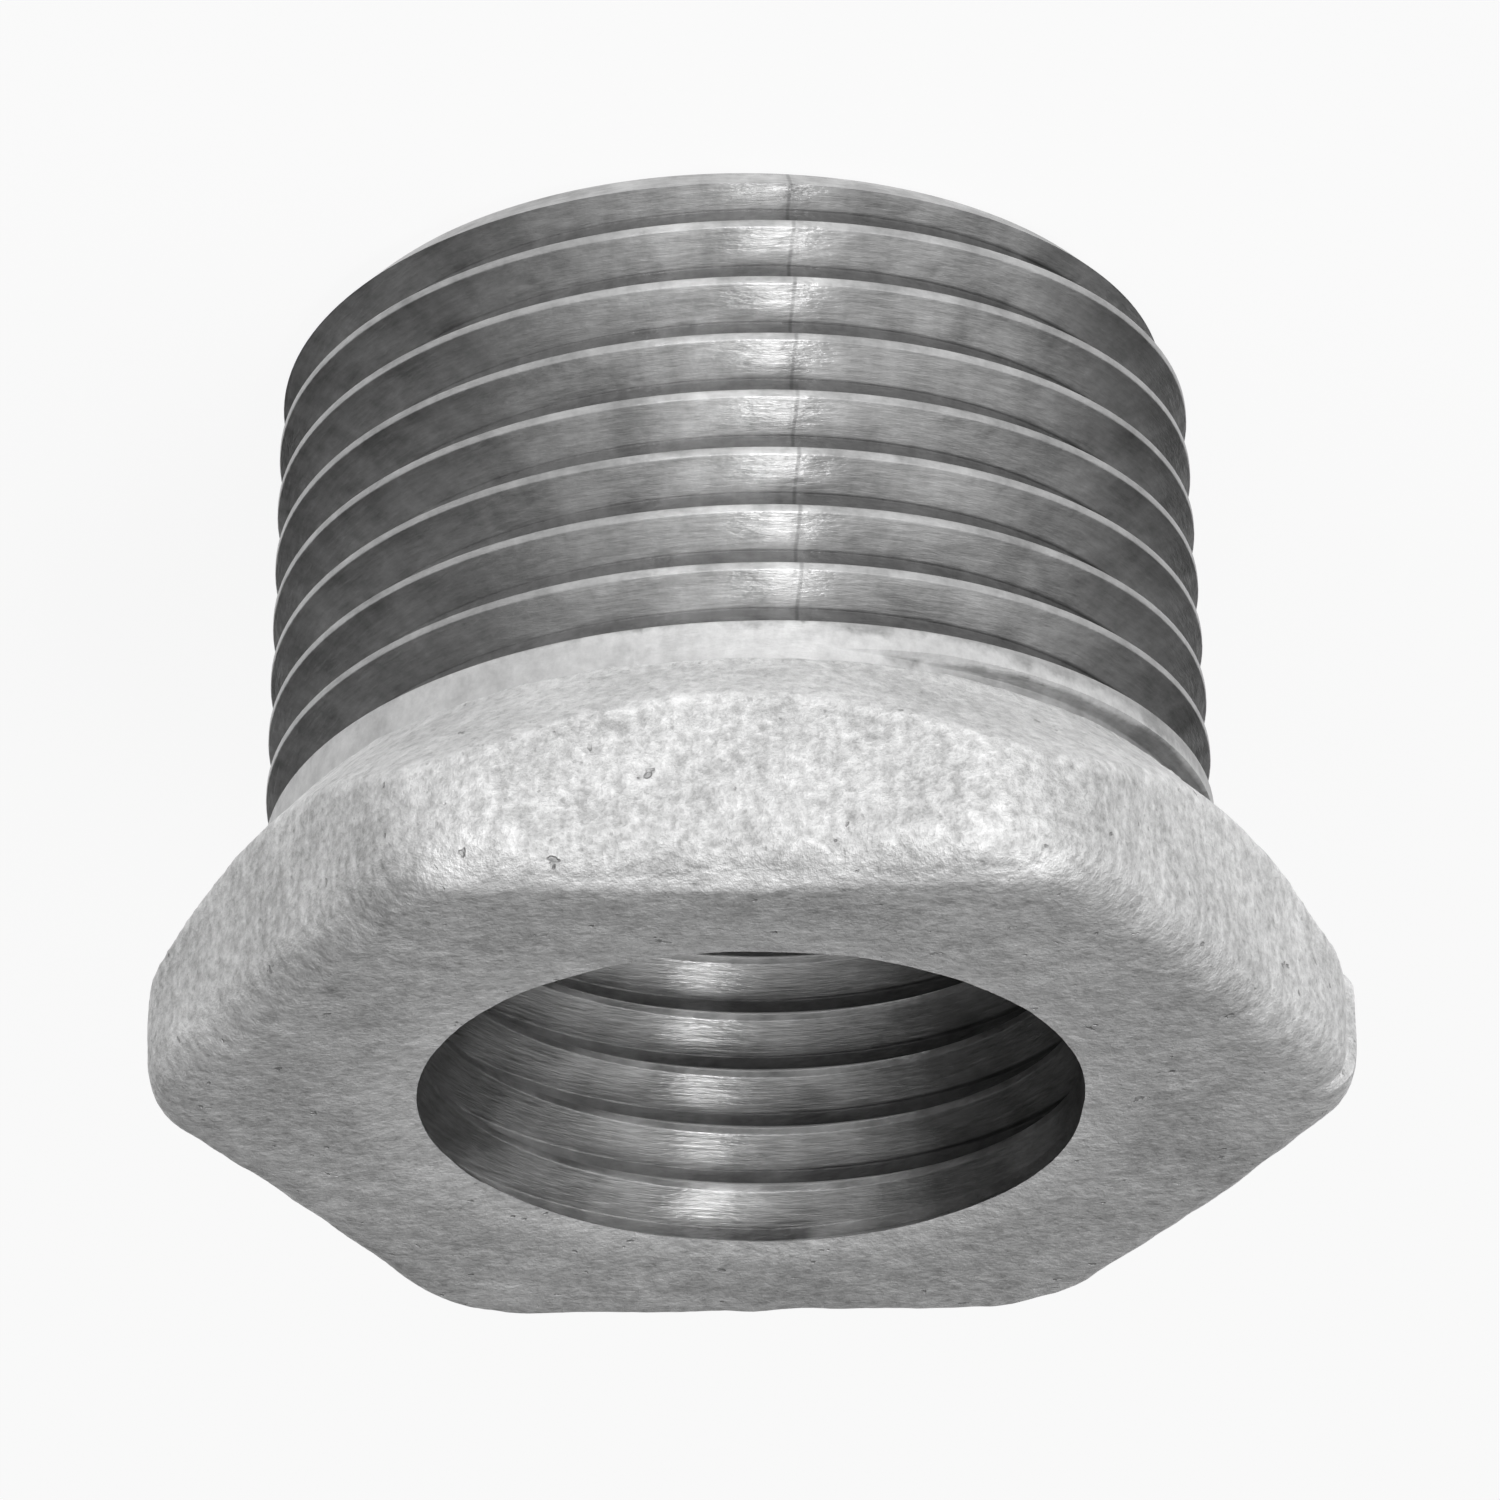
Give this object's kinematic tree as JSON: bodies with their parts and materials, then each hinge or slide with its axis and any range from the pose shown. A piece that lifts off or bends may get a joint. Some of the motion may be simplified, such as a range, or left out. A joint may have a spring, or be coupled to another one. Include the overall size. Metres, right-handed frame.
{
  "type": "hex bushing",
  "caption": "Hexagon reducing bushing with a taper pipe thread outside and a parallel pipe thread inside, in galvanised malleable iron.",
  "frame": {"origin": "centre of the narrow face of the threaded spigot, on the axis", "axes": "+Z along the axis from the spigot to the open face of the hexagon head, -Y square to one flat of the head"},
  "size_m": [0.0338, 0.0304, 0.0228],
  "materials": {
    "galvanised_iron": "hot-dip galvanised, matt and mottled, with bright cut threads"
  },
  "bodies": {
    "root": {"hex_bushing": "galvanised_iron"}
  },
  "joints": []
}
